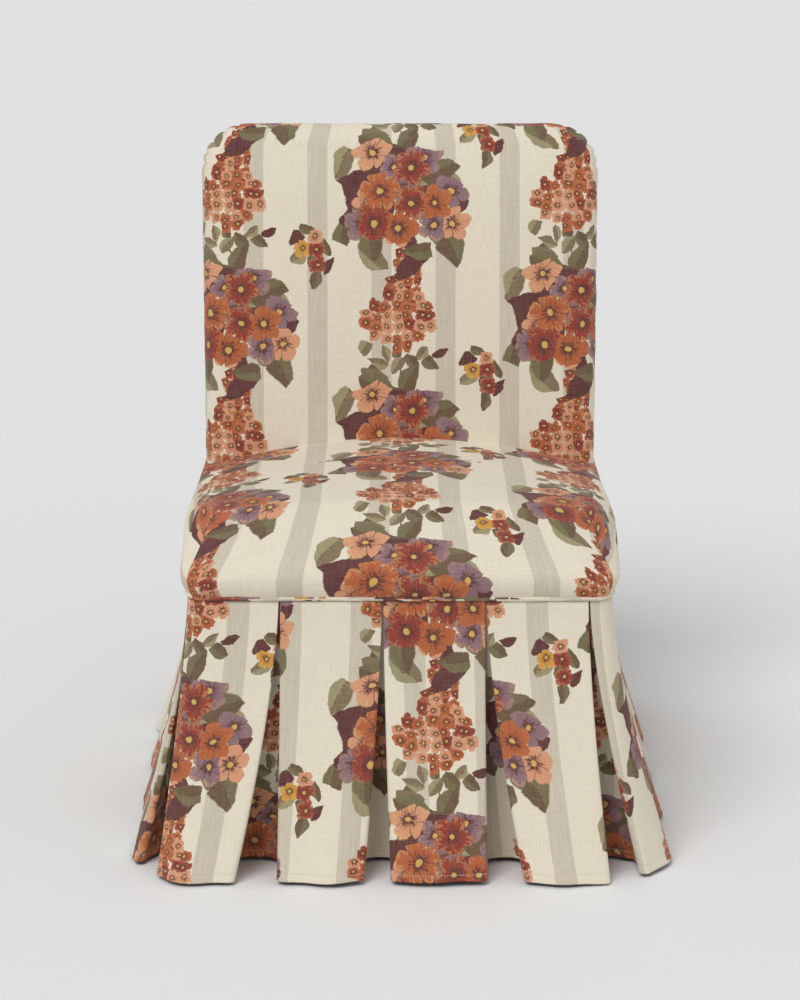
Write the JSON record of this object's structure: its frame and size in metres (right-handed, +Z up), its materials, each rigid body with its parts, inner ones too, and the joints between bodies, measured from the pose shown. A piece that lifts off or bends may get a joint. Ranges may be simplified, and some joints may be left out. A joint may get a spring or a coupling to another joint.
{
  "type": "slipper chair",
  "caption": "Low armless upholstered chair with a tight crowned seat, a reclined tight back, a welt round the seat and a flared box-pleated skirt to the floor.",
  "frame": {"origin": "on the floor, under the middle of the whole chair's box", "axes": "+X to the right of a viewer who faces the chair, -Y the front, +Z up"},
  "size_m": [0.704, 0.759, 0.876],
  "materials": {
    "hardwood": "sawn and sanded, unfinished",
    "zinc_steel": "zinc plated",
    "glide_nylon": "moulded, matt",
    "jute_webbing": "coarse flat weave",
    "burlap": "open plain weave",
    "foam": "open cell",
    "wadding": "fluffy",
    "card": "pressed fibre board",
    "cotton_cord": "twisted",
    "dark_lining": "plain, matt",
    "printed_cloth": "matt linen weave with soft stripes and a printed flower pattern"
  },
  "bodies": {
    "root": {"back_border_padding": "wadding", "back_burlap": "burlap", "back_cross_webbing": "jute_webbing", "back_foam": "foam", "back_seat_rail": "hardwood", "back_wadding": "wadding", "back_webbing": "jute_webbing", "corner_blocks": "hardwood", "crest_rail": "hardwood", "dust_cover": "dark_lining", "floor_glides": "glide_nylon", "frame_dowels": "hardwood", "front_seat_rail": "hardwood", "inside_back_cover": "printed_cloth", "left_back_post": "hardwood", "left_front_leg": "hardwood", "left_seat_rail": "hardwood", "leg_bolts": "zinc_steel", "leg_plates": "zinc_steel", "lower_back_rail": "hardwood", "outside_back_board": "card", "outside_back_cover": "printed_cloth", "outside_back_wadding": "wadding", "right_back_post": "hardwood", "right_front_leg": "hardwood", "right_seat_rail": "hardwood", "seat_burlap": "burlap", "seat_cover": "printed_cloth", "seat_cross_webbing": "jute_webbing", "seat_foam": "foam", "seat_wadding": "wadding", "seat_webbing": "jute_webbing", "skirt_back": "printed_cloth", "skirt_front": "printed_cloth", "skirt_left": "printed_cloth", "skirt_lining": "dark_lining", "skirt_right": "printed_cloth", "skirt_tack_strip": "card", "welt_cord": "cotton_cord", "welt_cover": "printed_cloth"}
  },
  "joints": []
}
